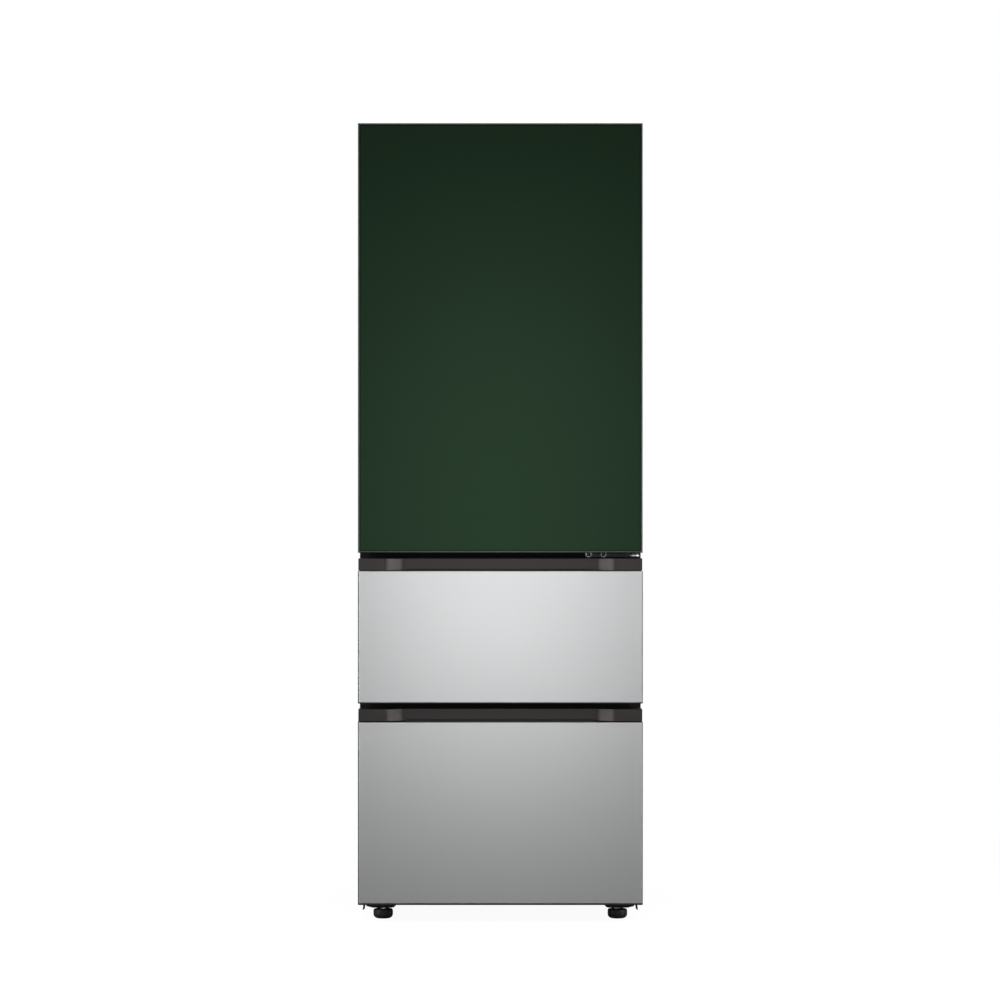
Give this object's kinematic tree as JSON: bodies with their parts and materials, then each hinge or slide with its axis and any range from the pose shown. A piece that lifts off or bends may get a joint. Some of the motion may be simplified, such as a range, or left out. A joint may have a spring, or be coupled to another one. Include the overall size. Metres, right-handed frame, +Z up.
{
  "type": "kimchi refrigerator",
  "caption": "Tall kimchi refrigerator with a flat dark-green glass door over two satin-steel drawers, each with a recessed dark grip band.",
  "frame": {"origin": "centre of the bounding box in x and y, on the floor", "axes": "+Z up, front faces -Y, +X to the right of someone facing the front"},
  "size_m": [0.666, 0.737, 1.87],
  "materials": {
    "green_glass": "satin, back-coated dark green",
    "front_steel": "fine satin, silver",
    "trim_metal": "satin, grey",
    "grip_bronze": "satin metallic, dark brown-grey",
    "cabinet_graphite": "satin, dark graphite",
    "zinc_steel": "zinc coated",
    "liner_white": "semi-gloss white",
    "foam": "foamed, matt",
    "seal_rubber": "matt dark grey",
    "rail_steel": "bright",
    "clear_plastic": "clear, gloss",
    "shelf_glass": "clear, polished",
    "container_body": "semi-gloss, pale grey",
    "container_lid": "matt, mid grey",
    "black_plastic": "matt black",
    "black_paint": "semi-gloss black",
    "fin_aluminium": "bright",
    "lamp_lens": "opal"
  },
  "bodies": {
    "cabinet": {"cabinet_shell": "cabinet_graphite", "back_panel": "zinc_steel", "cabinet_foam": "foam", "base_pan": "black_paint", "upper_liner": "liner_white", "middle_liner": "liner_white", "lower_liner": "liner_white", "upper_crossbar": "cabinet_graphite", "lower_crossbar": "cabinet_graphite", "rear_cover": "zinc_steel", "cord_gland": "black_plastic", "duct_cover": "liner_white", "evaporator": "fin_aluminium", "upper_shelf": "shelf_glass", "lower_shelf": "shelf_glass", "control_panel": "black_plastic", "lamp_cover": "lamp_lens", "compressor": "black_paint", "condenser": "fin_aluminium", "lower_hinge": "zinc_steel", "top_hinge": "zinc_steel", "top_hinge_cover": "cabinet_graphite", "middle_rail_outer_left": "rail_steel", "middle_rail_outer_right": "rail_steel", "lower_rail_outer_left": "rail_steel", "lower_rail_outer_right": "rail_steel"},
    "door": {"door_glass": "green_glass", "door_trim": "trim_metal", "door_core": "liner_white", "door_seal": "seal_rubber"},
    "upper_basket": {"upper_door_basket": "clear_plastic"},
    "lower_basket": {"lower_door_basket": "clear_plastic"},
    "front_foot_left": {"front_foot_left": "black_plastic"},
    "front_foot_right": {"front_foot_right": "black_plastic"},
    "rear_roller_left": {"rear_roller_left": "black_plastic"},
    "rear_roller_right": {"rear_roller_right": "black_plastic"},
    "evaporator_fan": {"evaporator_fan": "black_plastic"},
    "condenser_fan": {"condenser_fan": "black_plastic"},
    "middle_drawer": {"middle_drawer_panel": "front_steel", "middle_drawer_handle": "grip_bronze", "middle_drawer_core": "liner_white", "middle_drawer_seal": "seal_rubber", "middle_drawer_frame": "zinc_steel", "middle_container_left": "container_body", "middle_container_right": "container_body"},
    "middle_lid_left": {"middle_lid_left": "container_lid"},
    "middle_lid_right": {"middle_lid_right": "container_lid"},
    "middle_rails": {"middle_rail_middle_left": "rail_steel", "middle_rail_middle_right": "rail_steel"},
    "lower_drawer": {"lower_drawer_panel": "front_steel", "lower_drawer_handle": "grip_bronze", "lower_drawer_core": "liner_white", "lower_drawer_seal": "seal_rubber", "lower_drawer_frame": "zinc_steel", "lower_container_left": "container_body", "lower_container_right": "container_body"},
    "lower_lid_left": {"lower_lid_left": "container_lid"},
    "lower_lid_right": {"lower_lid_right": "container_lid"},
    "lower_rails": {"lower_rail_middle_left": "rail_steel", "lower_rail_middle_right": "rail_steel"}
  },
  "joints": [
    {"name": "door_hinge", "type": "hinge", "parent": "cabinet", "child": "door", "pos_m": [0.316, -0.338, 0.87], "axis": [0, 0, 1], "range_deg": [0, 110]},
    {"name": "middle_drawer_slide", "type": "slide", "parent": "cabinet", "child": "middle_drawer", "axis": [0, -1, 0], "range_m": [0, 0.42]},
    {"name": "lower_drawer_slide", "type": "slide", "parent": "cabinet", "child": "lower_drawer", "axis": [0, -1, 0], "range_m": [0, 0.33]},
    {"name": "middle_rail_slide", "type": "slide", "parent": "cabinet", "child": "middle_rails", "axis": [0, -1, 0], "range_m": [0, 0.21]},
    {"name": "lower_rail_slide", "type": "slide", "parent": "cabinet", "child": "lower_rails", "axis": [0, -1, 0], "range_m": [0, 0.165]},
    {"name": "upper_basket_lift", "type": "slide", "parent": "door", "child": "upper_basket", "axis": [0, 0, 1], "range_m": [0, 0.03]},
    {"name": "lower_basket_lift", "type": "slide", "parent": "door", "child": "lower_basket", "axis": [0, 0, 1], "range_m": [0, 0.03]},
    {"name": "evaporator_fan_spin", "type": "hinge", "parent": "cabinet", "child": "evaporator_fan", "pos_m": [0, 0.2745, 1.22575], "axis": [0, 1, 0], "continuous": true},
    {"name": "condenser_fan_spin", "type": "hinge", "parent": "cabinet", "child": "condenser_fan", "pos_m": [-0.207, 0.2665, 0.1303], "axis": [1, 0, 0], "continuous": true},
    {"name": "middle_lid_left_lift", "type": "slide", "parent": "middle_drawer", "child": "middle_lid_left", "axis": [0, 0, 1], "range_m": [0, 0.04]},
    {"name": "middle_lid_right_lift", "type": "slide", "parent": "middle_drawer", "child": "middle_lid_right", "axis": [0, 0, 1], "range_m": [0, 0.04]},
    {"name": "lower_lid_left_lift", "type": "slide", "parent": "lower_drawer", "child": "lower_lid_left", "axis": [0, 0, 1], "range_m": [0, 0.04]},
    {"name": "lower_lid_right_lift", "type": "slide", "parent": "lower_drawer", "child": "lower_lid_right", "axis": [0, 0, 1], "range_m": [0, 0.04]},
    {"name": "front_foot_left_turn", "type": "hinge", "parent": "cabinet", "child": "front_foot_left", "pos_m": [-0.277, -0.2605, 0.02], "axis": [0, 0, 1], "continuous": true},
    {"name": "rear_roller_left_roll", "type": "hinge", "parent": "cabinet", "child": "rear_roller_left", "pos_m": [-0.27, 0.3025, 0.017], "axis": [1, 0, 0], "continuous": true},
    {"name": "front_foot_right_turn", "type": "hinge", "parent": "cabinet", "child": "front_foot_right", "pos_m": [0.277, -0.2605, 0.02], "axis": [0, 0, 1], "continuous": true},
    {"name": "rear_roller_right_roll", "type": "hinge", "parent": "cabinet", "child": "rear_roller_right", "pos_m": [0.27, 0.3025, 0.017], "axis": [1, 0, 0], "continuous": true}
  ],
  "couplings": [
    {"joint": "middle_rail_slide", "follows": "middle_drawer_slide", "ratio": 0.5},
    {"joint": "lower_rail_slide", "follows": "lower_drawer_slide", "ratio": 0.5}
  ]
}
